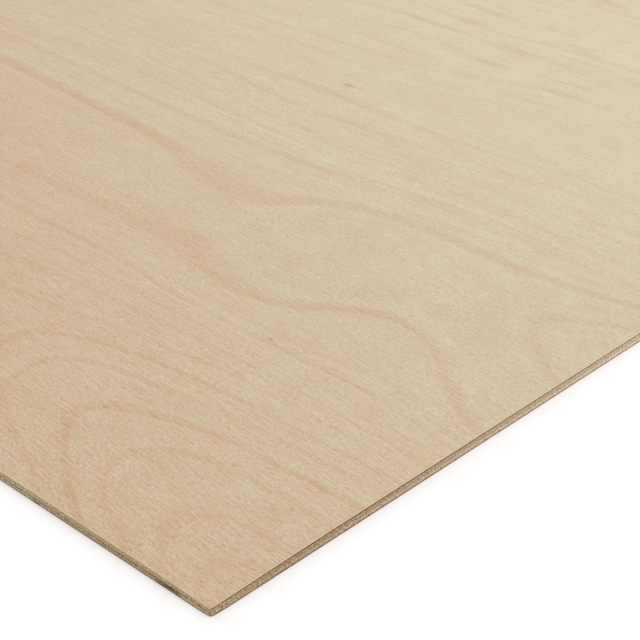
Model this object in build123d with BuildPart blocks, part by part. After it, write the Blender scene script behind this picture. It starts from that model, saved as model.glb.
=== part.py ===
"""Three-ply plywood sheet with beech faces, lying flat, in millimetres.

A sheet is three plies glued crosswise and then sawn to size in one cut. The two
outer plies are thin peeled beech, with their grain along the length of the sheet.
The middle ply is a thick one, with its grain across the width. All three are cut
together, so they share one outline, and they meet face to face at the glue lines.

The sheet rests on its back. The origin is at the middle of the back face, +X runs
along the length, +Y across the width and +Z up out of the good face.
"""

import os

from build123d import *

os.makedirs("parts", exist_ok=True)

# Size of the sheet, as such sheets are sold
sheet_length = 2500.0
sheet_width = 1250.0

# Thickness of the plies
outer_ply_thickness = 0.4
core_ply_thickness = 3.2

# Edges as the saw and handling leave them: the arris of each outer ply is sanded
# off by a hair, and the four upright corners are worn round
arris = 0.08
corner_radius = 0.8

# Heights where the plies meet
lower_glue_line = outer_ply_thickness
upper_glue_line = lower_glue_line + core_ply_thickness

# One saw cut gives all three plies the same outline
with BuildSketch() as sawn_outline:
    Rectangle(sheet_length, sheet_width)
    fillet(sawn_outline.vertices(), corner_radius)

with BuildPart() as back_veneer:
    with BuildSketch(Plane.XY):
        add(sawn_outline.sketch)
    extrude(amount=outer_ply_thickness)
    chamfer(back_veneer.faces().sort_by(Axis.Z)[0].edges(), arris)

with BuildPart() as core_ply:
    with BuildSketch(Plane.XY.offset(lower_glue_line)):
        add(sawn_outline.sketch)
    extrude(amount=core_ply_thickness)

with BuildPart() as face_veneer:
    with BuildSketch(Plane.XY.offset(upper_glue_line)):
        add(sawn_outline.sketch)
    extrude(amount=outer_ply_thickness)
    chamfer(face_veneer.faces().sort_by(Axis.Z)[-1].edges(), arris)

back_veneer.part.label = "back_veneer"
core_ply.part.label = "core_ply"
face_veneer.part.label = "face_veneer"

export_step(back_veneer.part, "parts/back_veneer.step")
export_step(core_ply.part, "parts/core_ply.step")
export_step(face_veneer.part, "parts/face_veneer.step")
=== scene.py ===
# %% [markdown]
# # A sheet of beech plywood
#
# This lesson dresses a plain CAD sheet as real plywood: three plies of peeled wood,
# glued crosswise and sawn to size. The CAD model is loaded first and is never moved.
# Everything is in metres, and the sheet lies flat with its back on the floor.

# %% Load the CAD frame
import math

import bpy
import numpy as np
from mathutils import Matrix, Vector, noise


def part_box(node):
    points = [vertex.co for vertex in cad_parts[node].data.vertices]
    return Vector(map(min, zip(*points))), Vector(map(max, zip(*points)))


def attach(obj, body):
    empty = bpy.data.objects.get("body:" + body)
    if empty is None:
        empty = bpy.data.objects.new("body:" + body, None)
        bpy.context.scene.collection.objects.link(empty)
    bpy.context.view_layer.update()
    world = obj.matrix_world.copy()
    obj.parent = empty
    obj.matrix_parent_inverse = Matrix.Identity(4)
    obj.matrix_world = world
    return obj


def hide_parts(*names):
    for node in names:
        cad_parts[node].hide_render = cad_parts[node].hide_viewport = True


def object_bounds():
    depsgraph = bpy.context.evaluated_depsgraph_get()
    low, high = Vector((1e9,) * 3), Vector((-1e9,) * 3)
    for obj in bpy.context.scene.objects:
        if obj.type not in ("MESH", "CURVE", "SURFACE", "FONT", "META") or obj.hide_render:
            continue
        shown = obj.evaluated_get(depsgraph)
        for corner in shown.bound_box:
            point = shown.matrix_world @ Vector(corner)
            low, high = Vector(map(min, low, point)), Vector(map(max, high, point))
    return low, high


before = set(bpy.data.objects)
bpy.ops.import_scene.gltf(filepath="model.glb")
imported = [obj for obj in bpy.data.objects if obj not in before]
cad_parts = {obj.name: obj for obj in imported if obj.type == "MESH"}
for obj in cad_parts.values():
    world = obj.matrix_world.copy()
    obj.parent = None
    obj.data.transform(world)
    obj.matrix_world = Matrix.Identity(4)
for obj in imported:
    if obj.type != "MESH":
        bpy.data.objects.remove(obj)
cad_low, cad_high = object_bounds()
print("CAD box", tuple(cad_low), tuple(cad_high))

# %% [markdown]
# The picture looks at one corner of the sheet from close by. It is the corner at the
# high end of X and the low end of Y, and here it is called the near corner. Every place
# on the sheet is given from it in millimetres: *along* runs down the long edge, with
# the grain of the faces, and *across* runs down the short edge.

# %% Places on the sheet
MM = 0.001
CORNER_X = cad_high.x
CORNER_Y = cad_low.y
LENGTH = (cad_high.x - cad_low.x) / MM
WIDTH = (cad_high.y - cad_low.y) / MM
TOP = cad_high.z / MM


def from_corner(points):
    """Along and across, in mm from the near corner, of an array of points in metres."""
    along = (CORNER_X - points[:, 0]) / MM
    across = (points[:, 1] - CORNER_Y) / MM
    return along, across


print("sheet", round(LENGTH), "by", round(WIDTH), "by", round(TOP, 2), "mm")

# %% [markdown]
# ## The growth rings
#
# A face veneer is peeled off the log like paper off a roll. The knife cuts through the
# year rings at a very flat angle, so the rings come out the way hills do on a map: as
# contour lines. Where the log bulges, the lines close into arches and loops.
#
# So the rings are made as a map too. Every point of the sheet gets a *ring number*, its
# height on that map, and a ring line lies wherever the number passes a whole one. The
# lines near this corner are drawn, a few points each. A smooth surface is then
# laid through them. Away from the corner it turns into the long waves that a log gives
# when it is peeled round and round.

# %% Ring lines drawn near the corner
# ring number, then points of (across, along) in mm from the near corner
RING_LINES = [
    (0.0, [(20, 12)]),
    (1.0, [(0, 24), (10, 32), (20, 36), (28, 34), (34, 24), (35, 14), (34, 0)]),
    (2.0, [(3, 40), (10, 60), (20, 74), (32, 76), (44, 72), (52, 58), (54, 36), (53, 0)]),
    (3.0, [(0, 57), (12, 79), (24, 96), (34, 107), (42, 112), (50, 102), (58, 85), (64, 62), (66, 0)]),
    (4.0, [(36, 141), (48, 147), (60, 141), (66, 126), (70, 102), (73, 80)]),
    (5.0, [(48, 163), (62, 166), (72, 148), (79, 128), (82, 104), (84, 70)]),
    (6.0, [(76, 200), (81, 172), (87, 142), (90, 115)]),
    (7.0, [(95, 208), (97, 186), (100, 160), (102, 120), (103, 80), (100, 0)]),
    (9.0, [(122, 255), (123, 220), (122, 180), (118, 145), (117, 80), (119, 55), (112, 0)]),
    (9.6, [(132, 250), (133, 200), (128, 150), (127, 120), (132, 95), (140, 75), (138, 55), (130, 35),
           (121, 10)]),
    (10.0, [(146, 330), (147, 290), (148, 250), (149, 210), (146, 190), (139, 145), (138, 120), (148, 101),
            (160, 83), (164, 72), (160, 54), (150, 38), (134, 20), (125, 0)]),
    (10.3, [(153, 330), (154, 290), (155, 265), (156, 245), (157, 210), (164, 185), (168, 170), (160, 154),
            (150, 130), (147, 118), (156, 101), (167, 86), (171, 72), (167, 55), (157, 36), (132, 0)]),
    (10.0, [(171, 0), (180, 16), (190, 27), (200, 37), (206, 29), (213, 15), (220, 0)]),
    (10.3, [(164, 0), (176, 20), (190, 35), (200, 47), (208, 34), (219, 17), (228, 0)]),
    (10.65, [(178, 400), (178, 330), (185, 260), (188, 120), (195, 90), (195, 70)]),
    (11.0, [(218, 384), (216, 355), (212, 290), (210, 262), (204, 237), (193, 216), (187, 194),
            (198, 172), (212, 161), (221, 146), (226, 120), (226, 80), (228, 40), (234, 0)]),
    (11.3, [(225, 384), (223, 355), (219, 290), (217, 262), (214, 235), (214, 190), (215, 176),
            (220, 163), (227, 146), (231, 120), (231, 80), (233, 40), (240, 0)]),
    (12.0, [(238, 370), (236, 300), (234, 260), (234, 225), (236, 195), (240, 155), (247, 90)]),
    (13.0, [(254, 410), (256, 380), (256, 335), (253, 280), (251, 215)]),
    (14.0, [(271, 430), (271, 345), (268, 305), (264, 270), (262, 230), (263, 185)]),
    (15.0, [(290, 420), (290, 375), (285, 290), (281, 262), (280, 225), (282, 185), (293, 90)]),
    (16.0, [(302, 390), (302, 350), (299, 285)]),
    (18.0, [(334, 365), (334, 330), (336, 300)]),
    (19.0, [(345, 360), (350, 280), (354, 240), (359, 205), (369, 182), (375, 160)]),
    (21.0, [(403, 270), (403, 240), (401, 195)]),
    (22.0, [(417, 255), (416, 215), (423, 190), (422, 155)]),
    (22.5, [(438, 300), (440, 250), (441, 200), (441, 140)]),
    (22.8, [(470, 260), (474, 200), (476, 120)]),
]
RING_COUNT = 24
print(len(RING_LINES), "ring lines drawn")

# %% [markdown]
# `log_rings` is the plain log: the number rises and falls once for each turn of the
# log, and slow noise, stretched along the grain, makes the bulges. `RingMap` adds what
# the drawn lines ask for. It uses radial basis functions, one soft bump for each drawn
# point, and solves for bump heights that bring the surface to the right number there.

# %% The ring number of any point
HALF_TURN = 500.0          # mm across the sheet from the lowest ring number to the highest
TURN_START = -60.0         # mm across the sheet to where the number is lowest
BULGE_LONG, BULGE_WIDE = 330.0, 85.0     # mm
BULGE_HEIGHT = 3.0                       # in rings
# small bulges lie on the large ones: so much tighter along and across, and so much as high
TIGHT_LONG, TIGHT_WIDE, SMALL_HEIGHT = 2.3, 2.1, 0.4
SMALL_SEED = 7


def log_rings(along, across, seed):
    """Ring number of a peeled log, between 0 and RING_COUNT - 1 but for its slow bulges."""
    turn = 0.5 - 0.5 * np.cos(math.pi * (across - TURN_START) / HALF_TURN)
    bulge = np.array([
        noise.noise(Vector((x / BULGE_LONG, y / BULGE_WIDE, seed)))
        + SMALL_HEIGHT * noise.noise(Vector((
            x / BULGE_LONG * TIGHT_LONG, y / BULGE_WIDE * TIGHT_WIDE, seed + SMALL_SEED)))
        for x, y in zip(along, across)
    ])
    return (RING_COUNT - 1) * turn + BULGE_HEIGHT * bulge


class RingMap:
    """The plain log, bent near the corner to pass through the drawn ring lines."""

    reach = 170.0           # how far a drawn point pulls, across the grain, in mm
    along_squeeze = 0.6     # along the grain it pulls further
    spacing = 12.0          # mm between the points set along a drawn line
    slack = 0.004           # lets the surface miss a point by a hair, so it stays smooth
    batch = 20000           # mesh points worked out at a time

    def __init__(self, lines, seed):
        self.seed = seed
        places, numbers = [], []
        for number, points in lines:
            stations = self.spread(np.array(points, float))
            places.append(stations)
            numbers.append(np.full(len(stations), number))
        self.places = np.vstack(places)
        wanted = np.concatenate(numbers) - log_rings(self.places[:, 1], self.places[:, 0], seed)
        pull = self.bumps(self.places[:, 1], self.places[:, 0])
        self.heights = np.linalg.solve(pull + self.slack * np.eye(len(wanted)), wanted)

    def spread(self, points):
        """Even stations along a line of points."""
        steps = np.hypot(*np.diff(points, axis=0).T)
        run = np.concatenate([[0], np.cumsum(steps)])
        stations = np.linspace(0, run[-1], max(1, int(run[-1] / self.spacing) + 1))
        return np.column_stack([np.interp(stations, run, points[:, k]) for k in (0, 1)])

    def bumps(self, along, across):
        """How strongly each drawn point pulls at each place: a smooth bump, 0 past its reach."""
        far = np.hypot(
            across[:, None] - self.places[None, :, 0],
            (along[:, None] - self.places[None, :, 1]) * self.along_squeeze,
        )
        near = np.clip(1 - far / self.reach, 0, None)
        return near**4 * (4 * far / self.reach + 1)

    def number(self, along, across):
        """Ring number at each place, from the log and from the drawn points that reach it."""
        ring = log_rings(along, across, self.seed)
        across_end, along_end = self.places.max(axis=0) + (self.reach, self.reach / self.along_squeeze)
        near = np.flatnonzero((along < along_end) & (across < across_end))
        for part in np.array_split(near, 1 + len(near) // self.batch):
            ring[part] += self.bumps(along[part], across[part]) @ self.heights
        return ring


face_rings = RingMap(RING_LINES, seed=3.1)
print("ring map with", len(face_rings.heights), "bumps")

# %% [markdown]
# The fibres don't run dead straight down the sheet either. At this corner they lean
# about seven degrees off the long edge, further in they come round to it, and along the
# length they wander back. `fibre_across` numbers the fibres: it stays the same along
# one fibre, so any pattern that is stretched along it follows the grain.

# %% The run of the fibres
LEAN = 0.13                # slope of the fibres off the long edge at its strongest
LEAN_START = -30.0         # mm across the sheet where that is
LEAN_HALF = 860.0          # mm further across to where they lean the other way
WANDER = 700.0             # mm along the sheet for the lean to die away and turn


def fibre_across(along, across):
    """mm across the grain, counted so that it stays the same along one fibre."""
    lean = LEAN * np.cos(math.pi * (across - LEAN_START) / LEAN_HALF)
    return across - lean * WANDER * np.sin(along / WANDER)


print("fibres lean by up to", round(math.degrees(math.atan(LEAN)), 1), "degrees")

# %% [markdown]
# ## Wear at the near corner
#
# A sheet is carried by its corners, so they get crushed a little. Here the top sinks
# by less than half a millimetre over a thumb's width, and the lowest tip is knocked round.
# Both outer plies and the core are shaped by this one function, so they stay together.

# %% The worn corner
CRUSH = 0.45               # mm that the top sinks at the corner
CRUSH_ALONG, CRUSH_ACROSS = 12.0, 26.0   # mm over which it comes back up
TIP_LIFT = 0.5             # mm that the lowest tip is rounded up
TIP_WIDE = 2.2             # mm from the tip to where that ends


def wear_corner(points):
    """Moves the points near the corner, an array in metres, and hands it back."""
    along, across = from_corner(points)
    distance = np.hypot(along, across)
    height = points[:, 2] / MM / TOP
    sink = CRUSH * np.exp(-((along / CRUSH_ALONG) ** 2) - (across / CRUSH_ACROSS) ** 2) * height
    lift = TIP_LIFT * np.clip(1 - distance / TIP_WIDE, 0, 1) * (1 - height)
    points[:, 2] += (lift - sink) * MM
    return points


tip = wear_corner(np.array([[CORNER_X, CORNER_Y, cad_high.z]]))
print("the top sinks by", round((cad_high.z - tip[0, 2]) / MM, 2), "mm at the corner")

# %% [markdown]
# ## Small tools
#
# Four helpers are used all through. One leaves edit mode and deselects everything, two
# read and write all vertices at once, and one selects the edges that pass a test.

# %% Helpers for meshes
def fresh_start():
    """Leaves edit mode and deselects everything."""
    if bpy.context.object and bpy.context.object.mode != "OBJECT":
        bpy.ops.object.mode_set(mode="OBJECT")
    bpy.ops.object.select_all(action="DESELECT")


def get_points(mesh):
    """All vertices of a mesh as an array with one row each."""
    flat = np.empty(len(mesh.vertices) * 3)
    mesh.vertices.foreach_get("co", flat)
    return flat.reshape(-1, 3)


def set_points(mesh, points):
    """Puts the vertices where the rows of an array say."""
    mesh.vertices.foreach_set("co", points.ravel())
    mesh.update()


def select_edges(piece, test):
    """In edit mode, selects the edges whose two ends pass the test, and nothing else."""
    bpy.ops.mesh.select_all(action="DESELECT")
    bpy.ops.mesh.select_mode(type="EDGE")
    bpy.ops.object.mode_set(mode="OBJECT")
    mesh = piece.data
    good = test(get_points(mesh))
    ends = np.empty(len(mesh.edges) * 2, int)
    mesh.edges.foreach_get("vertices", ends)
    ends = ends.reshape(-1, 2)
    mesh.edges.foreach_set("select", good[ends[:, 0]] & good[ends[:, 1]])
    bpy.ops.object.mode_set(mode="EDIT")


# %% [markdown]
# ## The plies as meshes
#
# Each outer ply starts as a flat grid. The grid's points carry the ring number and the
# run of the fibres, and its cells are smallest at the near corner, where the rings turn
# most tightly. The grid is extruded down to its thickness and its hidden glue side is
# dissolved into one face. Then the upright corners and the sanded arris are bevelled.
# The core shows only its edges, so both its faces are dissolved and its height is
# extruded in layers.

# %% Which points lie where
CORNER_RADIUS = 0.8 * MM
GRADING = 0.5              # 0 gives even cells, towards 1 crowds them at the corner
SIDE_GAP, RIM_GAP = 1e-5, 1e-6           # metres off a side or the rim that still count as on it


def crowd(points, low, high):
    """Slides the columns and rows of a grid towards the near corner, edges kept."""
    u = (high.x - points[:, 0]) / (high.x - low.x)
    v = (points[:, 1] - low.y) / (high.y - low.y)
    points[:, 0] = high.x - (high.x - low.x) * ((1 - GRADING) * u + GRADING * u * u)
    points[:, 1] = low.y + (high.y - low.y) * ((1 - GRADING) * v + GRADING * v * v)
    return points


def at_sides(points, low, high):
    """Two masks, for points on the short edges of the sheet and on the long ones."""
    short = (points[:, 0] < low.x + SIDE_GAP) | (points[:, 0] > high.x - SIDE_GAP)
    long = (points[:, 1] < low.y + SIDE_GAP) | (points[:, 1] > high.y - SIDE_GAP)
    return short, long


def on_rim(points, low, high):
    """True on the sawn outline, the rounded corners with it."""
    short, long = at_sides(points, low, high)
    past = np.abs(points[:, :2]) - (np.array([high.x, high.y]) - CORNER_RADIUS)
    return short | long | ((past.min(axis=1) > -RIM_GAP) & (past.max(axis=1) > RIM_GAP))


print("corners rounded to", round(CORNER_RADIUS / MM, 2), "mm")

# %% [markdown]
# `slab` makes the block of a ply, `finish_slab` cleans and wears it, and `outer_ply`
# sands the arris off in between.

# %% Shape of a ply
ARRIS = 0.08 * MM
CORNER_STEPS, ARRIS_STEPS = 4, 2         # flats that each rounding is made of
SAME_POINT = 1e-7                        # metres between points that are merged


def slab(name, node, cells, grid_side, layers):
    """A ply on the place of a CAD node: a grid face, extruded in layers to its thickness.

    grid_side is "top" or "bottom" for the side that keeps its grid, or None.
    """
    low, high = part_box(node)
    start, end = (low.z, high.z) if grid_side == "bottom" else (high.z, low.z)
    fresh_start()
    bpy.ops.mesh.primitive_grid_add(
        x_subdivisions=cells[0], y_subdivisions=cells[1], size=1, location=(0, 0, start)
    )
    piece = bpy.context.object
    piece.name = name
    piece.scale = (high.x - low.x, high.y - low.y, 1)
    bpy.ops.object.transform_apply(location=True, rotation=True, scale=True)
    set_points(piece.data, crowd(get_points(piece.data), low, high))
    bpy.ops.object.mode_set(mode="EDIT")
    bpy.ops.mesh.select_all(action="SELECT")
    if grid_side is None:
        bpy.ops.mesh.dissolve_faces()
    step = {"value": (0, 0, (end - start) / layers)}
    for layer in range(layers):
        bpy.ops.mesh.extrude_region_move(TRANSFORM_OT_translate=step)
        if layer == 0:
            bpy.ops.mesh.dissolve_faces()
    select_edges(piece, lambda points: np.logical_and(*at_sides(points, low, high)))
    bpy.ops.mesh.bevel(offset=CORNER_RADIUS, segments=CORNER_STEPS, affect="EDGES")
    return piece, low, high


def finish_slab(piece):
    """Merges doubles, turns the faces outwards and wears the near corner."""
    bpy.ops.mesh.select_all(action="SELECT")
    bpy.ops.mesh.remove_doubles(threshold=SAME_POINT)
    bpy.ops.mesh.normals_make_consistent(inside=False)
    bpy.ops.object.mode_set(mode="OBJECT")
    set_points(piece.data, wear_corner(get_points(piece.data)))
    triangles = sum(len(face.vertices) - 2 for face in piece.data.polygons)
    print(piece.name, len(piece.data.vertices), "points,", triangles, "triangles")


def outer_ply(name, node, cells, good_side):
    """A slab with its grid on the good side and the arris there sanded off."""
    piece, low, high = slab(name, node, cells, good_side, 1)
    outside = high.z if good_side == "top" else low.z

    def on_arris(points):
        return (np.abs(points[:, 2] - outside) < RIM_GAP) & on_rim(points, low, high)

    select_edges(piece, on_arris)
    bpy.ops.mesh.bevel(offset=ARRIS, segments=ARRIS_STEPS, affect="EDGES")
    finish_slab(piece)
    return piece


FACE_CELLS, BACK_CELLS, CORE_CELLS = (400, 200), (200, 100), (700, 350)
CORE_LAYERS = 5
face_ply = outer_ply("good_face_veneer", "face_veneer", FACE_CELLS, "top")
back_ply = outer_ply("back_face_veneer", "back_veneer", BACK_CELLS, "bottom")
core_ply, _, _ = slab("sawn_core_ply", "core_ply", CORE_CELLS, None, CORE_LAYERS)
finish_slab(core_ply)

# %% [markdown]
# ## What the shader is told
#
# A shader works point by point, so everything that follows the grain is handed to it as
# attributes on the mesh. `grain` holds along, fibre and ring number. `tone` holds how
# pale the wood is, how strong the ring line is here, and where ring colour pools.
# `lines` holds what one ring measures in mm, so that the shader can draw ring lines of
# real width, and how clear the fine lines between the rings are. Where rings lie far
# apart the knife met them at a flatter angle and their lines are wider too, so the
# measure grows only with the root of the distance. Attributes run smoothly between the
# mesh points.

# %% Paleness, ring strength and pools
# how clearly each ring line shows, from ring 0 to ring 23
RING_STRENGTH = [0.5, 0.6, 0.8, 1.0, 0.6, 0.8, 0.5, 0.5, 0.4, 0.5, 0.95, 1.0,
                 0.45, 0.4, 0.45, 0.6, 0.6, 0.3, 0.5, 0.6, 0.35, 0.45, 0.45, 0.5]
# how wide each ring line is, against the one in the colour ramp
RING_WIDTH = [0.75, 0.75, 0.75, 0.75, 0.7, 0.6, 0.6, 0.6, 0.6, 0.6, 0.95, 1.0,
              0.7, 0.7, 0.7, 0.8, 0.8, 0.8, 0.8, 0.8, 0.8, 0.8, 0.8, 0.8]
# pools of ring colour: across, along, half its width, half its length, turn in degrees, strength
RING_POOLS = [(203, 202, 17, 32, 14, 1.0), (155, 190, 8, 18, 0, 0.7), (165, 163, 5, 13, -20, 0.8)]
# where ring lines are weaker or stronger than elsewhere, and where the wood is paler
LINE_CHANGES = [(202, 214, 16, 24, 0, -0.45), (215, 285, 14, 34, 0, 0.6), (196, 22, 34, 30, 0, -0.5),
                (152, 95, 20, 32, 0, 0.6), (154, 42, 16, 14, 0, -0.4), (150, 280, 14, 40, 0, -0.25),
                (330, 130, 70, 120, 0, -0.55)]
PALE_SPOTS = [(244, 235, 22, 110, 0, 0.15), (130, 20, 70, 45, 0, 0.12), (121, 118, 3, 18, 0, 0.3)]
# how clear the fine lines are near the corner and further in, and where they stand out
FINE_NEAR, FINE_FAR = 0.12, 0.3
FINE_PLACES = (50, 80)                   # mm across the sheet from the one to the other
FINE_SPOTS = [(248, 220, 13, 170, 0, 0.5), (119, 110, 6, 90, 0, 0.3)]
LINE_MIDDLE = 0.15                       # rings past a whole number to the middle of its line
# how much colour pools at each place in a ring
POOL_PLACES, POOL_DEPTHS = [0, 0.04, 0.14, 0.34, 0.9, 1], [0.5, 1, 0.8, 0, 0, 0.5]
PALE_WAVE, PALE_MIDDLE = 700.0, 175.0    # mm across for half a wave, and to where its middle lies
PALE_SWING = 0.7                         # how far the tone swings to each side
WARM_WAVE, WARM_DEPTH = 520.0, 0.4       # mm along for half a wave, and half its height
WARM_FADE, WARM_LEAST = 700, 0.3         # mm across the sheet over which warmth dies down, and to what
CORNER_DULLER, CORNER_DULLER_WIDE = 0.12, 60.0       # the near corner is a little duller and warmer
TONE_LIFT, TONE_SPAN = 0.3, 1.6          # bring the sum of these to between 0 and 1
print(len(RING_STRENGTH), "rings,", len(LINE_CHANGES), "places where lines change")

# %% [markdown]
# The tone of the wood swings in two long waves, across the sheet and along it. A *soft
# spot* is a bell-shaped bump, and sums of them change the wood in chosen places.

# %% Tone at any point
def paleness(along, across):
    """0 for the warmest wood and 1 for the palest, in two long waves."""
    pale = 0.5 + PALE_SWING * np.sin(math.pi * (across - PALE_MIDDLE) / PALE_WAVE)
    warm = WARM_DEPTH * (1 - np.cos(math.pi * along / WARM_WAVE))
    warm *= np.clip(1 - across / WARM_FADE, WARM_LEAST, 1)
    corner_duller = CORNER_DULLER * np.exp(-((np.hypot(along, across) / CORNER_DULLER_WIDE) ** 2))
    return (pale - warm - corner_duller + TONE_LIFT) / TONE_SPAN


def soft_spot(along, across, middle_a, middle_l, wide, long, turn, strength):
    """A bell-shaped bump of one strength, turned by some degrees."""
    side, ahead = across - middle_a, along - middle_l
    c, s = math.cos(math.radians(turn)), math.sin(math.radians(turn))
    return strength * np.exp(
        -(((c * side - s * ahead) / wide) ** 2) - ((s * side + c * ahead) / long) ** 2
    )


def spots(along, across, places):
    """The sum of all soft spots in a list."""
    return sum(soft_spot(along, across, *place) for place in places)


def pools(along, across, ring):
    """How much ring colour pools at each point, from 0 to 1."""
    in_ring = np.interp(np.mod(ring, 1), POOL_PLACES, POOL_DEPTHS)
    return np.clip(spots(along, across, RING_POOLS) * in_ring, 0, 1)


near_tone, far_tone = paleness(np.array([0.0, 0.0]), np.array([0.0, WIDTH]))
print("paleness", round(near_tone, 2), "at the near corner and", round(far_tone, 2), "across from it")

# %% [markdown]
# The distance from ring to ring is the slope of the map turned over. The slope is
# measured with small steps to both sides of every point.

# %% Attributes on the plies
COMMON_SPACING = 16.0      # mm from ring to ring at which a line has just the width of the ramp
CLOSEST, WIDEST = 5, 45    # mm from ring to ring that are told apart
STEP = 0.5                 # mm to each side
BACK_SHIFT, BACK_SEED = 260, 40.7        # where on the log the back was peeled
BACK_STRENGTH, BACK_WIDTH = [0.6] * RING_COUNT, [0.8] * RING_COUNT


def ring_spacing(ring_number, along, across):
    """mm that the shader takes for one ring."""
    ahead = ring_number(along + STEP, across) - ring_number(along - STEP, across)
    side = ring_number(along, across + STEP) - ring_number(along, across - STEP)
    spacing = 1 / np.clip(np.hypot(ahead, side) / (2 * STEP), 1 / WIDEST, 1 / CLOSEST)
    return np.sqrt(spacing * COMMON_SPACING)


def write_attribute(mesh, name, *columns):
    """Stores three numbers for each mesh point as one vector attribute."""
    layer = mesh.attributes.new(name=name, type="FLOAT_VECTOR", domain="POINT")
    layer.data.foreach_set("vector", np.column_stack(columns).astype(np.float32).ravel())


def tell_shader(piece, ring_number, strength, width, drawn):
    """drawn is True for the face, whose near corner has spots of its own."""
    points = get_points(piece.data)
    along, across = from_corner(points)
    ring = ring_number(along, across)
    pale = paleness(along, across)
    line_middles = np.arange(RING_COUNT) + LINE_MIDDLE
    line = np.interp(ring, line_middles, strength)
    fine = np.interp(across, FINE_PLACES, [FINE_NEAR, FINE_FAR])
    pool = unused = np.zeros(len(points))
    if drawn:
        pale += spots(along, across, PALE_SPOTS) / TONE_SPAN
        line *= 1 + spots(along, across, LINE_CHANGES)
        fine += spots(along, across, FINE_SPOTS)
        pool = pools(along, across, ring)
    spacing = ring_spacing(ring_number, along, across) / np.interp(ring, line_middles, width)
    write_attribute(piece.data, "grain", along, fibre_across(along, across), ring)
    write_attribute(piece.data, "tone", pale, line, pool)
    write_attribute(piece.data, "lines", spacing, fine, unused)
    print(piece.name, "ring numbers", round(ring.min(), 1), "to", round(ring.max(), 1))


def back_rings(along, across):
    """Another part of the log, with bulges of its own."""
    return log_rings(along, across + BACK_SHIFT, BACK_SEED)


tell_shader(face_ply, face_rings.number, RING_STRENGTH, RING_WIDTH, True)
tell_shader(back_ply, back_rings, BACK_STRENGTH, BACK_WIDTH, False)

# %% [markdown]
# ## Helpers for materials
#
# Colours are written as the eye knows them, as sRGB hex, and `linear` turns them into
# the numbers a shader works with. `add` makes a node, sets it and links it in one go.
# `finish_material` hands a material its colour and the small hollows in its surface.

# %% Colour and node helpers
WOOD_IOR, WOOD_SPECULAR = 1.5, 0.25      # cut wood is open, so it mirrors less than a film would
MIX_A, MIX_B, MIX_OUT = 6, 7, 2          # sockets of the Mix node when it mixes colours
SOFT = dict(interpolation_type="SMOOTHSTEP")     # for a ramp that sets in and ends softly


def linear(hex_colour):
    """An sRGB hex colour as linear red, green, blue and alpha."""
    channels = [int(hex_colour[k:k + 2], 16) / 255 for k in (0, 2, 4)]
    return [c / 12.92 if c <= 0.04045 else ((c + 0.055) / 1.055) ** 2.4 for c in channels] + [1.0]


def add(tree, kind, inputs=None, stops=None, **settings):
    """Adds a node. inputs sets or links its sockets, stops fills its colour ramp.

    A node among the inputs links its first output.
    """
    node = tree.nodes.new("ShaderNode" + kind)
    for name, value in settings.items():
        setattr(node, name, value)
    for key, value in (inputs or {}).items():
        value = value.outputs[0] if isinstance(value, bpy.types.Node) else value
        if isinstance(value, bpy.types.NodeSocket):
            tree.links.new(value, node.inputs[key])
        else:
            node.inputs[key].default_value = value
    for k, (place, grey) in enumerate(stops or []):
        ramp = node.color_ramp.elements
        stop = ramp[k] if k < 2 else ramp.new(place)
        stop.position = place
        stop.color = (grey, grey, grey, 1)
    return node


def chain(tree, kind, value, *steps):
    """One node after another, each given as an operation and its second input, if it has one."""
    for operation, *other in steps:
        value = add(tree, kind, {0: value, **dict(enumerate(other, 1))}, operation=operation)
    return value


def new_material(name, roughness):
    """A plain material with its node tree and its surface shader."""
    material = bpy.data.materials.new(name)
    material.use_nodes = True
    surface = material.node_tree.nodes["Principled BSDF"]
    surface.inputs["Roughness"].default_value = roughness
    surface.inputs["IOR"].default_value = WOOD_IOR
    surface.inputs["Specular IOR Level"].default_value = WOOD_SPECULAR
    return material, material.node_tree, surface


def finish_material(material, wood, hollow=None, depth=0.0, strength=0.0):
    """Links the colour, and the bump for a mask of hollows that are depth mm deep."""
    tree = material.node_tree
    surface = tree.nodes["Principled BSDF"]
    tree.links.new(wood, surface.inputs["Base Color"])
    if hollow is not None:
        bump = add(tree, "Bump", {"Height": hollow, "Distance": depth * MM, "Strength": strength},
                   invert=True)
        tree.links.new(bump.outputs[0], surface.inputs["Normal"])
    print(material.name, len(tree.nodes), "nodes")
    return material


print("beech", [round(part, 3) for part in linear("D1C5A7")[:3]], "in linear light")

# %% [markdown]
# Nearly every pattern in wood is noise that is stretched along the grain. This helper
# takes the size of one noise cell in millimetres, so that the numbers further down can
# be checked with a ruler. A size of 0 leaves that direction out. The numbers of each
# noise stand together in a recipe, and two stars hand them all over by name.
#
# The base colour is then *multiplied* by a pale tint wherever a mask is 1, the way a
# stain darkens wood. Where a mask goes under 0 the same tint makes the wood lighter.

# %% Noise and tints
NOISE_ROUGHNESS = 0.6      # how strong each finer octave of a noise is, against the one before


def stretched_noise(tree, place, cell, low, high, start=0.0, end=1.0, detail=0.0):
    """Noise with cells of a size in mm. Its values from low to high become start to end."""
    per_mm = [1 / size if size else 0 for size in cell]
    at = add(tree, "VectorMath", {0: place, 1: per_mm}, operation="MULTIPLY")
    cloud = add(tree, "TexNoise", {
        "Vector": at, "Scale": 1.0, "Detail": detail, "Roughness": NOISE_ROUGHNESS})
    return add(tree, "MapRange", {0: cloud, 1: low, 2: high, 3: start, 4: end})


def tint(tree, wood, layers):
    """Multiplies the wood by the tint of each layer, as far as its mask says."""
    for mask, colour in layers:
        wood = add(tree, "Mix", {0: mask, MIX_A: wood, MIX_B: linear(colour)}, data_type="RGBA",
                   blend_type="MULTIPLY", clamp_factor=False).outputs[MIX_OUT]
    return wood


def place_in_mm(tree):
    """Along, across and height in mm, from the lower tip of the near corner."""
    place = add(tree, "TexCoord")
    return add(tree, "Mapping", {0: place.outputs["Object"],
               "Location": (CORNER_X / MM, -CORNER_Y / MM, 0),
               "Scale": (-1 / MM, 1 / MM, 1 / MM)})


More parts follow.
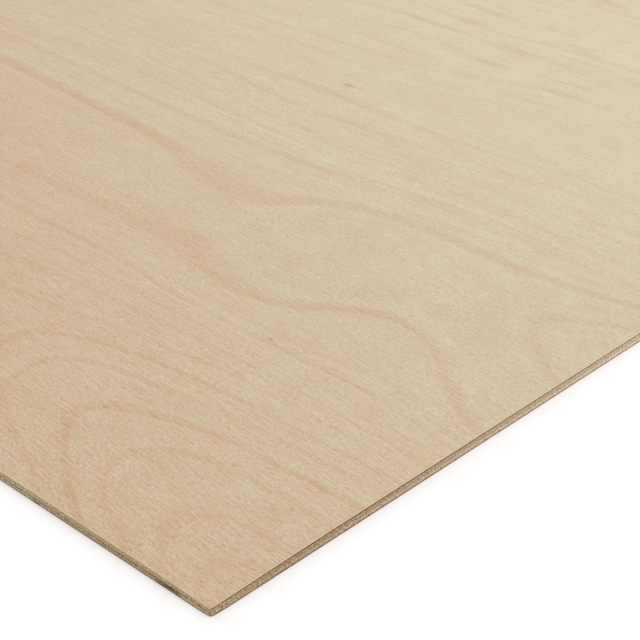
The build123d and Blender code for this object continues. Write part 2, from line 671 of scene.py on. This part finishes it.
def attribute_parts(tree, name):
    """The vector that a mesh attribute holds, and its three numbers."""
    vector = add(tree, "Attribute", attribute_name=name).outputs["Vector"]
    parts = add(tree, "SeparateXYZ", {0: vector})
    return vector, parts.outputs["X"], parts.outputs["Y"], parts.outputs["Z"]


print("patterns start at", (round(CORNER_X / MM), round(CORNER_Y / MM)), "mm")

# %% [markdown]
# ## Beech veneer, rotary cut and sanded
#
# First the ring lines. A year begins with a sharp, darker line, which fades out over the
# next few millimetres to wood a little paler than the rest. Turned into millimetres, the
# distance to the nearest whole ring number runs through a colour ramp with just that
# shape. A little noise added to the distance frays the line along the fibres.

# %% One line for each ring
FRAY = 1.4                 # mm that a ring line frays to each side
FRAY_NOISE = dict(cell=(18, 1.2, 0), low=0.2, high=0.8, start=-FRAY, end=FRAY, detail=3.0)
RAMP_REACH = 10.0          # mm to each side of a line that the colour ramp covers
NO_LINE = 0.25             # the grey that stands for no line, so that paler wood has room below it
# place and grey, the two ends first, because a new colour ramp has those already
LINE_STOPS = [(0.0, NO_LINE), (1.0, NO_LINE), (0.42, NO_LINE), (0.5, 1.0), (0.6, 0.85), (0.7, 0.5),
              (0.8, 0.12), (0.9, 0.14)]


def ring_line(tree, grain, ring, spacing):
    """1 on the dark side of each whole ring number, and under 0 on the pale side of it."""
    fray = stretched_noise(tree, grain, **FRAY_NOISE)
    phase = chain(tree, "Math", ring, ("ADD", 0.5), ("FRACT",), ("SUBTRACT", 0.5))
    off = add(tree, "Math", {0: phase, 1: spacing, 2: fray}, operation="MULTIPLY_ADD")
    off = add(tree, "MapRange", {0: off, 1: -RAMP_REACH, 2: RAMP_REACH})
    line = add(tree, "ValToRGB", {0: off}, stops=LINE_STOPS)
    palest = -NO_LINE / (1 - NO_LINE)
    return add(tree, "MapRange", {0: line, 3: palest, 4: 1.0})


print("a ring line is drawn up to", RAMP_REACH, "mm to each side")

# %% [markdown]
# A ring line comes and goes along its length and is made up of short threads. In a few
# places its colour pools. Fine lines, some darker and some paler, run side by side with
# the rings in between. They are noise too, but laid out by ring number and not by
# millimetres, so they bend with the rings.

# %% The whole ring figure
FADE_NOISE = dict(cell=(70, 22, 0), low=0.3, high=0.65, start=0.65, end=1.2, detail=1.0)
THREAD_NOISE = dict(cell=(7, 0.9, 0), low=0.3, high=0.7, start=0.5, end=1.5, detail=1.0)
TORN_NOISE = dict(cell=(14, 1.4, 0), low=0.3, high=0.7, start=0.45, end=1.3, detail=2.0)
# this one's cells are a fifth of a ring wide and 300 mm long
FINE_NOISE = dict(cell=(1 / 5, 300, 0), low=0.3, high=0.7, start=-0.6, end=1.0, detail=2.0)


def ring_figure(tree, grain):
    """One mask for ring lines, pools of ring colour and the fine lines between the rings."""
    _, along, _, ring = attribute_parts(tree, "grain")
    _, _, strength, pool = attribute_parts(tree, "tone")
    _, spacing, fine, _ = attribute_parts(tree, "lines")
    line = ring_line(tree, grain, ring, spacing)
    fade = stretched_noise(tree, grain, **FADE_NOISE)
    thread = stretched_noise(tree, grain, **THREAD_NOISE)
    line = chain(tree, "Math", line, ("MULTIPLY", strength), ("MULTIPLY", fade), ("MULTIPLY", thread))
    torn = stretched_noise(tree, grain, **TORN_NOISE)
    pool = add(tree, "Math", {0: pool, 1: torn}, operation="MULTIPLY", use_clamp=True)
    line = add(tree, "Mix", {0: pool, 2: line, 3: 1.0})
    by_ring = add(tree, "CombineXYZ", {0: ring, 1: along})
    between = stretched_noise(tree, by_ring, **FINE_NOISE)
    return add(tree, "Math", {0: between, 1: fine, 2: line}, operation="MULTIPLY_ADD")


print("fine lines:", round(1 / FINE_NOISE["cell"][0]), "in each ring")

# %% [markdown]
# Beech is told from other pale woods by its flecks: every ray of the tree is cut
# through, and shows as a short, dark reddish dash, one or two millimetres long, all of
# them in line with the grain. A Voronoi texture gives one place in each of its cells, and
# the dash is drawn round that place, longer and darker in some cells than in others. The
# wood right round a fleck is made a little paler, so that flecks leave the mean tone alone.

# %% Ray flecks
FLECK_CELL = (2.4, 0.56)   # mm along and across for each fleck
FLECK_HALF = (1.1, 0.1)    # mm from its middle to its ends and to its sides
FLECK_SIZES = (0.6, 1.4)   # the smallest and the largest, against that
FLECK_EDGE = (1.25, 0.5)   # where its dark sets in and where it is full, in half sizes
RIM_EDGE = (3.2, 1.0)      # the same for the pale rim
FLECK_RIM = 0.26           # how much paler the rim is, against the fleck's darkness
FLECK_DEPTHS = (0.35, 1.05)
FLECK_SKEW = 2.5           # above 1, most flecks are faint and few are dark


def ray_flecks(tree, grain):
    """1 on dark flecks, under 0 on their pale rims."""
    per_mm = (1 / FLECK_CELL[0], 1 / FLECK_CELL[1], 0)
    per_half = (FLECK_CELL[0] / FLECK_HALF[0], FLECK_CELL[1] / FLECK_HALF[1], 0)
    at = add(tree, "VectorMath", {0: grain, 1: per_mm}, operation="MULTIPLY")
    cell = add(tree, "TexVoronoi", {"Vector": at, "Scale": 1.0}, voronoi_dimensions="2D")
    away = chain(tree, "VectorMath", at, ("SUBTRACT", cell.outputs["Position"]), ("MULTIPLY", per_half),
                 ("LENGTH",))
    chance = add(tree, "SeparateColor", {0: cell.outputs["Color"]})
    reach = add(tree, "MapRange", {0: chance.outputs[0], 3: FLECK_SIZES[0], 4: FLECK_SIZES[1]})
    away = add(tree, "Math", {0: away.outputs["Value"], 1: reach}, operation="DIVIDE")
    dash, rim = (
        add(tree, "MapRange", {0: away, 1: edge[0], 2: edge[1], 4: full}, **SOFT)
        for edge, full in ((FLECK_EDGE, 1.0), (RIM_EDGE, FLECK_RIM))
    )
    dash = add(tree, "Math", {0: dash, 1: rim}, operation="SUBTRACT")
    depth = add(tree, "Math", {0: chance.outputs[1], 1: FLECK_SKEW}, operation="POWER")
    depth = add(tree, "MapRange", {0: depth, 3: FLECK_DEPTHS[0], 4: FLECK_DEPTHS[1]})
    return add(tree, "Math", {0: dash, 1: depth}, operation="MULTIPLY")


print("one fleck for each", round(FLECK_CELL[0] * FLECK_CELL[1], 2), "square mm")

# %% [markdown]
# Under the flecks lie very fine streaks, a few fibres wide, and the pores, which are
# shorter and finer. Both are one noise mask here.

# %% Streaks and pores
STREAK_NOISE = dict(cell=(14, 0.7, 0), low=0, high=1)
PORE_NOISE = dict(cell=(4.5, 0.35, 0), low=0, high=1)
PORE_SHARE = 0.5           # of the mask, the rest is streaks
STREAK_EDGE = (0.38, 0.62)               # noise values at which a streak sets in and is full


def streaks(tree, grain):
    """From 0 between the streaks to 1 on them."""
    streak = stretched_noise(tree, grain, **STREAK_NOISE)
    pore = stretched_noise(tree, grain, **PORE_NOISE)
    both = add(tree, "Mix", {0: PORE_SHARE, 2: streak, 3: pore})
    return add(tree, "MapRange", {0: both, 1: STREAK_EDGE[0], 2: STREAK_EDGE[1]})


print("streaks", STREAK_NOISE["cell"][:2], "and pores", PORE_NOISE["cell"][:2], "mm")

# %% [markdown]
# Two more small things: the pin knots, which are tiny buds that the knife went through,
# and a painted highlight on the arris, which makes the face paler half a millimetre in from
# the saw cut. The same soft ovals as for pin knots also make the short strokes of ring colour.

# %% Pin knots and the painted arris highlight
PIN_EDGE = (1.4, 0.2)                    # where a pin sets in and where it is full, in half sizes
# painted highlight on the arris: how far in it reaches, and how pale it makes the face
ARRIS_HIGHLIGHT_EDGE, ARRIS_HIGHLIGHT_MOST = (0.6, 0.15), 0.25     # mm from the saw cut, and how pale at most


def pin_knots(tree, pins):
    """One mask for all pins, each given as across, along, half its width and length, strength."""
    place = place_in_mm(tree)
    knots = 0.0
    for across, along, half_wide, half_long, strength in pins:
        away = chain(tree, "VectorMath", place, ("SUBTRACT", (along, across, 0)),
                     ("MULTIPLY", (1 / half_long, 1 / half_wide, 0)), ("LENGTH",)).outputs["Value"]
        knot = add(tree, "MapRange", {0: away, 1: PIN_EDGE[0], 2: PIN_EDGE[1], 4: strength}, **SOFT)
        knots = add(tree, "Math", {0: knots, 1: knot}, operation="MAXIMUM")
    return knots


def painted_arris_highlight(tree):
    """Painted highlight on the arris: the paleness rises to its most towards the sawn outline."""
    sides = add(tree, "SeparateXYZ", {0: place_in_mm(tree)})
    gaps = []
    for socket, size in (("X", LENGTH), ("Y", WIDTH)):
        middle = chain(tree, "Math", sides.outputs[socket], ("SUBTRACT", size / 2), ("ABSOLUTE",))
        gaps.append(add(tree, "Math", {0: size / 2, 1: middle}, operation="SUBTRACT"))
    gap = add(tree, "Math", {0: gaps[0], 1: gaps[1]}, operation="MINIMUM")
    return add(tree, "MapRange", {0: gap, 1: ARRIS_HIGHLIGHT_EDGE[0], 2: ARRIS_HIGHLIGHT_EDGE[1], 4: ARRIS_HIGHLIGHT_MOST}, **SOFT)


print("arris highlight painted", ARRIS_HIGHLIGHT_EDGE[0], "mm in")

# %% [markdown]
# Now the veneer is put together. The wood goes from warm to pale, then each mask lays its
# tint over it. Flecks and streaks are weaker in pale wood. Sanding leaves the surface
# matt with a soft sheen, and the flecks stand a few hundredths of a millimetre below it.

# %% Veneer material
# the last colour on this line is the painted highlight on the arris
WARM_WOOD, PALE_WOOD, ARRIS_HIGHLIGHT_COLOUR = "CCB998", "E0DAC3", "E2D2B4"
RING_TINT, BLOTCH_TINT, CHATTER_TINT = "FBF0EB", "FCF9F6", "FEFDFC"
STREAK_TINT, FLECK_TINT = "F9EBDF", "CE7A26"
PIN_TINT, STROKE_TINT = "F6CFB4", "F3D3AE"
MARKED = (1.1, 0.62)       # how strong flecks and streaks are in warm wood and in pale
# broad warm blotches, faint bars where the knife chattered, and the threads of a stroke
BLOTCH_NOISE = dict(cell=(55, 13, 0), low=0.3, high=0.7, detail=1.0)
CHATTER_NOISE = dict(cell=(12, 220, 0), low=0.35, high=0.65)
STROKE_NOISE = dict(cell=(14, 1.8, 0), low=0.35, high=0.65, start=0.3, end=1.8, detail=2.0)


def veneer_material(name, pins, strokes, pattern_shift):
    """Sanded beech: pale and matt, with a warm figure and reddish flecks."""
    material, tree, _ = new_material(name, roughness=0.55)
    grain, _, _, _ = attribute_parts(tree, "grain")
    grain = add(tree, "VectorMath", {0: grain, 1: (pattern_shift, pattern_shift, 0)}, operation="ADD")
    _, pale, _, _ = attribute_parts(tree, "tone")
    marked = add(tree, "MapRange", {0: pale, 3: MARKED[0], 4: MARKED[1]})
    thread = stretched_noise(tree, grain, **STROKE_NOISE)
    streak, fleck, stroke = (
        add(tree, "Math", {0: mask, 1: factor}, operation="MULTIPLY")
        for mask, factor in (
            (streaks(tree, grain), marked),
            (ray_flecks(tree, grain), marked),
            (pin_knots(tree, strokes), thread),
        )
    )
    wood = add(tree, "Mix", {0: pale, MIX_A: linear(WARM_WOOD), MIX_B: linear(PALE_WOOD)},
               data_type="RGBA").outputs[MIX_OUT]
    wood = tint(tree, wood, [
        (ring_figure(tree, grain), RING_TINT),
        (stretched_noise(tree, grain, **BLOTCH_NOISE), BLOTCH_TINT),
        (stretched_noise(tree, grain, **CHATTER_NOISE), CHATTER_TINT),
        (streak, STREAK_TINT),
        (fleck, FLECK_TINT),
        (pin_knots(tree, pins), PIN_TINT),
        (stroke, STROKE_TINT),
    ])
    # painted highlight: the face turns paler towards the sawn outline
    wood = add(tree, "Mix", {0: painted_arris_highlight(tree), MIX_A: wood, MIX_B: linear(ARRIS_HIGHLIGHT_COLOUR)},
               data_type="RGBA").outputs[MIX_OUT]
    hollow = add(tree, "Math", {0: fleck, 1: streak}, operation="ADD")
    return finish_material(material, wood, hollow, depth=0.03, strength=0.5)


# pin knots of the face, and a thin dark line on the arris at the corner: across, along, half its width,
# half its length, strength
FACE_PINS = [(314, 236, 1.8, 4.0, 0.85), (314, 229, 0.8, 6.0, 0.4), (121, 96, 0.9, 1.3, 1.0),
             (0.25, 1.0, 0.17, 1.2, 1.8)]
# short strokes of ring colour, where the knife ran almost flat to a ring
FACE_STROKES = [(405, 262, 2.4, 26, 0.25), (406, 205, 2.2, 16, 0.25), (404, 160, 2.4, 24, 0.22),
                (419, 247, 4.0, 9, 0.3), (438, 250, 2.8, 22, 0.3), (440, 205, 2.4, 16, 0.28),
                (429, 185, 3.2, 12, 0.3), (382, 207, 2.8, 9, 0.25), (378, 158, 4.2, 16, 0.2),
                (390, 157, 3.2, 11, 0.2), (367, 255, 2.2, 28, 0.18), (491, 220, 4.5, 18, 0.3),
                (415, 172, 2.2, 20, 0.2)]
BACK_PATTERN_SHIFT = 517.0   # mm, so that the back repeats nothing of the face
face_veneer = veneer_material("sanded beech face veneer", FACE_PINS, FACE_STROKES, 0.0)
back_veneer = veneer_material("sanded beech back veneer", [], [], BACK_PATTERN_SHIFT)

# %% [markdown]
# ## Cut ends of the outer plies
#
# On the two short edges the saw cuts straight across the fibres of the outer plies. Cut
# ends of wood drink in light, so each ply shows there as a thin dark brown line. On the
# long edges it cuts along the fibres, and the line is pale on the face ply and brown on
# the back ply, where the brown is painted shade along the bottom of the sheet. All of them
# are lighter further across the sheet from the near corner: partly painted light, partly
# the wood's own tone.

# %% Sawn edges of the outer plies
FIBRE_NOISE = dict(cell=(2, 1.6, 0.35), low=0.3, high=0.7, detail=3.0)
# the sawn edges grow lighter across the sheet: partly painted light, partly the wood's own tone
FAR_LIGHT_AND_TONE = (20, 240, -0.25, 0.4)       # mm across from and to, and what is added there
CUTS = [                                 # name, darkest and lightest tone
    ("sawn beech end grain", "360C00", "76300A"),
    ("sawn back veneer end grain", "4C1000", "8C3404"),
    # the back ply's long edge is brown from painted shade along the bottom of the sheet
    ("sawn back veneer side grain with painted shade", "7A4E2E", "AE865C"),
    ("sawn face veneer side grain", "CAB28D", "E2CEA9"),
]


def cut_material(name, dark, light):
    """Sawn and never sanded: dull, with every fibre a tone of its own."""
    material, tree, _ = new_material(name, roughness=0.8)
    place = place_in_mm(tree)
    fibre = stretched_noise(tree, place, **FIBRE_NOISE)
    across = add(tree, "SeparateXYZ", {0: place}).outputs["Y"]
    start, end, first, last = FAR_LIGHT_AND_TONE
    # lighter further across the sheet: partly painted light, partly the wood's own tone
    far_light_and_tone = add(tree, "MapRange", {0: across, 1: start, 2: end, 3: first, 4: last}, **SOFT)
    shade = add(tree, "Math", {0: fibre, 1: far_light_and_tone}, operation="ADD", use_clamp=True)
    wood = add(tree, "Mix", {0: shade, MIX_A: linear(dark), MIX_B: linear(light)},
               data_type="RGBA").outputs[MIX_OUT]
    return finish_material(material, wood)


cut_ends, back_ends, back_side_painted_shade, face_side = [cut_material(*cut) for cut in CUTS]

# %% [markdown]
# ## The core, sawn along and across
#
# The core's fibres run across the sheet. On the short edges it is therefore cut along
# its fibres, and shows pale wood with short slanting flecks and torn fibres. Glue has
# soaked into it beside both glue lines and left it reddish there.

# %% Glue stain
GLUE_STAIN = "BA7A4C"
LOWER_GLUE, UPPER_GLUE = 0.4, 3.6        # mm above the back


def glue_stain(tree, height, glue_line, reach, strength):
    """A mask that rises to strength towards one glue line, over a reach in mm."""
    off = chain(tree, "Math", height, ("SUBTRACT", glue_line), ("ABSOLUTE",))
    return add(tree, "MapRange", {0: off, 1: reach, 2: 0, 4: strength})


print("glue lines at", LOWER_GLUE, "and", UPPER_GLUE, "mm")

# %% [markdown]
# A darker layer wanders through the upper half of the short edge. It is a ramp over the
# height, with the height itself pushed up and down by slow noise. That layer and the two
# glue stains change their strength along the edge, each from one place to another.

# %% Core on the short edges
# the core is darker near the corner and paler further across: partly painted light, partly the wood's own
# tone
CORE_NEAR, CORE_FAR = "A58D68", "D3CAAE"
CORE_FAR_AT = 215          # mm across from the corner to where the wood is fully pale
CORE_SHADE, CORE_FLECK, CORE_PALE = "E8DCD0", "B98D70", "E9E6D2"
SHADE_HEIGHTS = (2.0, 4.5)               # mm that the colour ramp of the layer spans
SHADE_STOPS = [(0.0, 0.0), (1.0, 0.35), (0.15, 0.05), (0.4, 1.0), (0.6, 1.0), (0.8, 0.4)]
DRIFT_NOISE = dict(cell=(0, 14, 0), low=0, high=1, start=0, end=1.6, detail=3.0)
# low lies above high here, so this one marks where the noise is weak
PALE_NOISE = dict(cell=(0, 1.0, 0.4), low=0.46, high=0.3, start=0.0, end=0.7, detail=2.5)
TEAR_NOISE = dict(cell=(0, 1.0, 0.4), low=0.49, high=0.66, detail=2.5)
# mm across from and to, and the value at each: strength of the layer, reach of the upper stain
# in mm, how the lower stain fades, strength of the upper stain
ALONG_EDGE = [(10, 28, 0.1, 1.1), (10, 28, 0.8, 0.45), (60, 215, 0.8, 0.45), (80, 215, 1.0, 0.55)]
LOWER_REACH = 0.3          # mm


def core_side_material():
    """Long grain from the saw: pale and dull, with torn fibres."""
    material, tree, _ = new_material("sawn core side grain", roughness=0.75)
    place = place_in_mm(tree)
    parts = add(tree, "SeparateXYZ", {0: place})
    across, height = parts.outputs["Y"], parts.outputs["Z"]
    # darker near the corner, paler further across: partly painted light, partly the wood's own tone
    far_light_and_tone = add(tree, "MapRange", {0: across, 1: 0, 2: CORE_FAR_AT})
    wood = add(tree, "Mix", {0: far_light_and_tone, MIX_A: linear(CORE_NEAR), MIX_B: linear(CORE_FAR)},
               data_type="RGBA").outputs[MIX_OUT]

    layer, upper_reach, lower_fade, upper_strength = (
        add(tree, "MapRange", {0: across, 1: start, 2: end, 3: first, 4: last})
        for start, end, first, last in ALONG_EDGE
    )
    lower_strength = add(tree, "Math", {0: layer, 1: lower_fade}, operation="MULTIPLY")
    drift = stretched_noise(tree, place, **DRIFT_NOISE)
    drifted = add(tree, "Math", {0: height, 1: drift}, operation="ADD")
    shade = add(tree, "MapRange", {0: drifted, 1: SHADE_HEIGHTS[0], 2: SHADE_HEIGHTS[1]})
    shade = add(tree, "ValToRGB", {0: shade}, stops=SHADE_STOPS)
    shade = add(tree, "Math", {0: shade, 1: layer}, operation="MULTIPLY")

    pale = stretched_noise(tree, place, **PALE_NOISE)
    wood = add(tree, "Mix", {0: pale, MIX_A: wood, MIX_B: linear(CORE_PALE)},
               data_type="RGBA").outputs[MIX_OUT]
    torn = stretched_noise(tree, place, **TEAR_NOISE)
    wood = tint(tree, wood, [
        (shade, CORE_SHADE),
        (torn, CORE_FLECK),
        (glue_stain(tree, height, UPPER_GLUE, upper_reach, upper_strength), GLUE_STAIN),
        (glue_stain(tree, height, LOWER_GLUE, LOWER_REACH, lower_strength), GLUE_STAIN),
    ])
    return finish_material(material, wood, torn, depth=0.08, strength=0.8)


core_side = core_side_material()

# %% [markdown]
# On the long edges the core is cut across, and shows duller, mottled end grain. There a
# growth ring of the log runs through the middle of it as a broken reddish line, because
# a peeled veneer meets the rings almost flat.

# %% A growth ring in the end grain
RING_HEIGHT = 1.78         # mm above the back, give or take the drift
RING_DRIFT = 0.45
RING_EDGE = (0.36, 0.08)   # mm off its middle, where it sets in and where it is full
RING_WANDER = dict(cell=(60, 500, 0), low=0, high=1, start=-RING_DRIFT, end=RING_DRIFT, detail=2.0)
RING_BREAKS = dict(cell=(3, 0, 0), low=0.35, high=0.6, start=0.25, end=1.0, detail=2.0)


def ring_in_core(tree, place, height):
    """A wandering, broken line at the height of the growth ring."""
    drift = stretched_noise(tree, place, **RING_WANDER)
    off = chain(tree, "Math", height, ("ADD", drift), ("SUBTRACT", RING_HEIGHT), ("ABSOLUTE",))
    line = add(tree, "MapRange", {0: off, 1: RING_EDGE[0], 2: RING_EDGE[1]}, **SOFT)
    broken = stretched_noise(tree, place, **RING_BREAKS)
    return add(tree, "Math", {0: line, 1: broken}, operation="MULTIPLY")


print("growth ring", RING_HEIGHT, "mm above the back")

# %% [markdown]
# Beside the near corner the long edge also has a few brown marks. Each is a soft-edged
# box in its own place.

# %% Brown marks on the long edge
# along, height, half its length, half its height, colour, strength
EDGE_MARKS = [
    (30.0, 2.8, 48.0, 0.95, "F8F6F5", 1.0),
    (19.0, 1.05, 5.6, 0.75, "B5835C", 0.8),
    (18.4, 1.45, 2.4, 0.22, "6B4A36", 0.9),
    (82.6, 0.75, 1.8, 0.35, "C08A62", 0.7),
    (38.0, 1.2, 13.0, 0.8, "E6C6AE", 0.5),
    (63.0, 0.65, 13.0, 0.35, "D9BBA2", 0.6),
    (0.1, 2.0, 0.5, 2.2, "C2A084", 0.7),
]
MARK_DEPTH = 50.0          # mm in from the long edge within which a mark is drawn
MARK_EDGE = (1.15, 0.85)   # where a mark sets in and where it is full, in half sizes


def edge_mark(tree, place, along, high, half_long, half_high, strength):
    """A mask for one mark."""
    away = chain(tree, "VectorMath", place, ("SUBTRACT", (along, 0, high)),
                 ("MULTIPLY", (1 / half_long, 1 / MARK_DEPTH, 1 / half_high)), ("ABSOLUTE",))
    x, y, z = add(tree, "SeparateXYZ", {0: away}).outputs
    far = chain(tree, "Math", x, ("MAXIMUM", z), ("MAXIMUM", y))
    return add(tree, "MapRange", {0: far, 1: MARK_EDGE[0], 2: MARK_EDGE[1], 4: strength}, **SOFT)


print(len(EDGE_MARKS), "marks on the long edge")

# %% [markdown]
# The end grain itself is a fine mottle of light wood and dark pores. The growth ring, the
# upper glue stain and the marks are laid over it as tints.

# %% Core on the long edges
END_LIGHT, END_DARK = "D6C7A1", "8C7353"
RING_BROWN = "B08468"
END_NOISE = dict(cell=(0.9, 0, 0.45), low=0.37, high=0.63, detail=2.0)
END_REACH, END_STAIN = 0.4, 0.2          # mm, and strength, of the glue stain here


def core_end_material():
    """End grain from the saw: dull, and pitted with open pores."""
    material, tree, _ = new_material("sawn core end grain", roughness=0.85)
    place = place_in_mm(tree)
    height = add(tree, "SeparateXYZ", {0: place}).outputs["Z"]
    pore = stretched_noise(tree, place, **END_NOISE)
    wood = add(tree, "Mix", {0: pore, MIX_A: linear(END_LIGHT), MIX_B: linear(END_DARK)},
               data_type="RGBA").outputs[MIX_OUT]
    marks = [
        (edge_mark(tree, place, along, high, half_long, half_high, strength), colour)
        for along, high, half_long, half_high, colour, strength in EDGE_MARKS
    ]
    wood = tint(tree, wood, [
        (ring_in_core(tree, place, height), RING_BROWN),
        (glue_stain(tree, height, UPPER_GLUE, END_REACH, END_STAIN), GLUE_STAIN),
        *marks,
    ])
    return finish_material(material, wood, pore, depth=0.08, strength=0.8)


core_end = core_end_material()

# %% [markdown]
# ## Putting the finishes on
#
# Each face of a ply takes its material by the way it looks: the two short edges of the
# sheet face along X, the two long ones along Y. The sanded arris of the face ply is taken
# for a part of its face. On the back ply only the flatter half of the arris is.

# %% Materials by direction
WITH_ARRIS, WITHOUT_ARRIS = 0.3, 0.7     # least Z of the normal of a face that counts as flat


def dress(piece, flat, end, side, least):
    """flat for top and bottom, end for faces towards X, side for faces towards Y."""
    for material in (flat, end, side):
        piece.data.materials.append(material)
    for face in piece.data.polygons:
        x, y, z = (abs(part) for part in face.normal)
        face.material_index = 0 if z > least else (1 if x >= y else 2)


dress(face_ply, face_veneer, cut_ends, face_side, WITH_ARRIS)
dress(back_ply, back_veneer, back_ends, back_side_painted_shade, WITHOUT_ARRIS)
dress(core_ply, core_side, core_side, core_end, WITHOUT_ARRIS)

for piece, node, slot in (
    (face_ply, "face_veneer", "beech_face_veneer"),
    (core_ply, "core_ply", "core_veneer"),
    (back_ply, "back_veneer", "beech_back_veneer"),
):
    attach(piece, "root")
    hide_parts(node)
    print(piece.name, "stands for", node)

# %% [markdown]
# ## Floor, light and camera
#
# The floor is plain and pale. For rays that come from the camera it also glows a
# little, so that it ends up white, as on a packshot, while a shadow still shows on it.
# An even white world is the soft light, and one sun with a wide disc is the key. It
# stands to the right of the picture, so the short edge is lighter than the long one.

# %% Floor and light
WHITE = (1, 1, 1, 1)
FLOOR_SIZE, FLOOR_DROP = 80, 0.0001      # metres, wide and just clear of the back
PAPER_GREY, PAPER_GLOW = (0.8, 0.8, 0.8, 1), 0.22
SOFT_LIGHT, WHITE_SKY = 0.72, 1.0
KEY_HEIGHT, KEY_TURN = 40, -8            # degrees above the floor, and round from +X
KEY_WIDE, KEY_POWER = 50, 1.37           # degrees across its disc


def white_for_camera(tree, plain, white):
    """Mixes from the plain shader to the white one for camera, glossy and transmission rays."""
    path = add(tree, "LightPath").outputs
    seen = chain(tree, "Math", path["Is Camera Ray"], ("MAXIMUM", path["Is Glossy Ray"]),
                 ("MAXIMUM", path["Is Transmission Ray"]))
    return add(tree, "MixShader", {0: seen, 1: plain, 2: white})


fresh_start()
bpy.ops.mesh.primitive_plane_add(size=FLOOR_SIZE, location=(0, 0, -FLOOR_DROP))
floor = bpy.context.object
floor.name = "floor"
bpy.ops.object.transform_apply(location=True)
paper, tree, surface = new_material("white paper floor", roughness=0.9)
surface.inputs["Base Color"].default_value = PAPER_GREY
surface.inputs["Specular IOR Level"].default_value = 0.0
glow = add(tree, "Emission", {"Strength": PAPER_GLOW})
both = add(tree, "AddShader", {0: surface, 1: glow})
seen = white_for_camera(tree, surface, both)
tree.links.new(seen.outputs[0], tree.nodes["Material Output"].inputs["Surface"])
floor.data.materials.append(paper)

world = bpy.data.worlds.new("studio")
bpy.context.scene.world = world
world.use_nodes = True
tree = world.node_tree
soft = tree.nodes["Background"]
soft.inputs["Color"].default_value = WHITE
soft.inputs["Strength"].default_value = SOFT_LIGHT
bright = add(tree, "Background", {"Color": WHITE, "Strength": WHITE_SKY})
seen = white_for_camera(tree, soft, bright)
tree.links.new(seen.outputs[0], tree.nodes["World Output"].inputs["Surface"])

bpy.ops.object.light_add(type="SUN", location=(3, 0, 3))
key = bpy.context.object
key.name = "key"
key.data.angle = math.radians(KEY_WIDE)
key.data.energy = KEY_POWER
high, turn = math.radians(KEY_HEIGHT), math.radians(KEY_TURN)
towards = Vector((math.cos(high) * math.cos(turn), math.cos(high) * math.sin(turn), math.sin(high)))
key.rotation_euler = towards.to_track_quat("Z", "Y").to_euler()
print("key light from", tuple(round(part, 2) for part in towards))

# %% [markdown]
# The camera stands about four tenths of a metre back from the near corner, a little
# over a third of a metre up, with a long lens. It looks down by 31 degrees and
# diagonally over the sheet, so that the two sawn edges run off to both sides.

# %% Camera
LENS, SENSOR = 101.71, 36                # mm
CAMERA_HEIGHT = 0.350642                 # above the floor
LOOK_DOWN = math.radians(30.5995)
HEADING = math.radians(43.7315)          # from +Y round towards -X
CORNER_RIGHT, CORNER_AHEAD = -0.032468, 0.418364    # metres from the camera to the near corner

ahead = Vector((-math.sin(HEADING), math.cos(HEADING), 0))
right = Vector((math.cos(HEADING), math.sin(HEADING), 0))
stand = Vector((CORNER_X, CORNER_Y, CAMERA_HEIGHT)) - right * CORNER_RIGHT - ahead * CORNER_AHEAD
bpy.ops.object.camera_add(location=stand, rotation=(math.pi / 2 - LOOK_DOWN, 0, HEADING))
camera = bpy.context.object
camera.data.lens = LENS
camera.data.sensor_width = SENSOR
bpy.context.scene.camera = camera
bpy.context.scene.view_settings.view_transform = "Standard"
print("camera at", tuple(round(part, 3) for part in stand))
